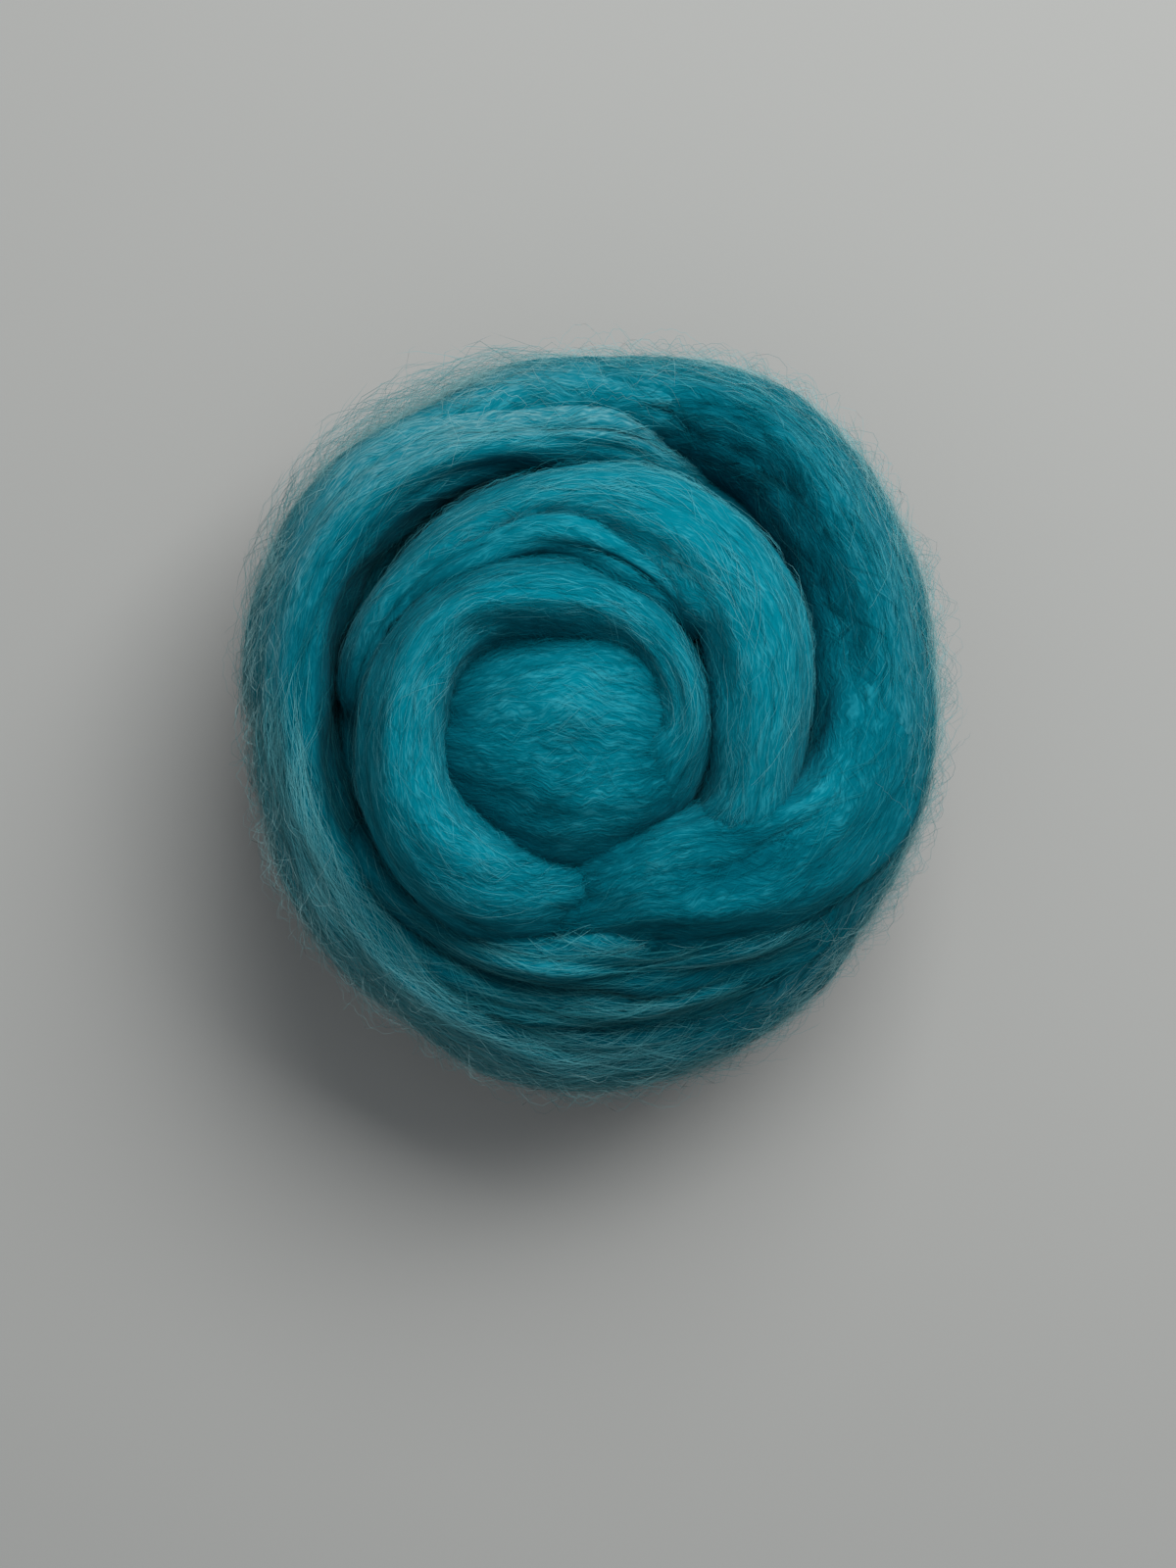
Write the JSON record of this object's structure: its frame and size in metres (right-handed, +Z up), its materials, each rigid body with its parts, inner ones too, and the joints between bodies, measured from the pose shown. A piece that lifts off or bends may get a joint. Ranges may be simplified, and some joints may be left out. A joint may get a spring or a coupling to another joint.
{
  "type": "ball of wool roving",
  "caption": "Loosely wound ball of combed wool roving, one soft rope of fibre coiled round its own start, resting on a small flat spot.",
  "frame": {"origin": "on the flat spot that the ball rests on, at the spot's centre, under the middle of the ball's outline", "axes": "+Z up, from the flat spot to the coiled top; +X to the side where the outermost lap is thickest, away from the coil's centre, and +Y towards the side where that lap thins out to loose fibre"},
  "size_m": [0.0978, 0.1036, 0.0607],
  "materials": {
    "wool": "matt, with a soft sheen along the fibres"
  },
  "bodies": {
    "root": {"roving_ball": "wool"}
  },
  "joints": []
}
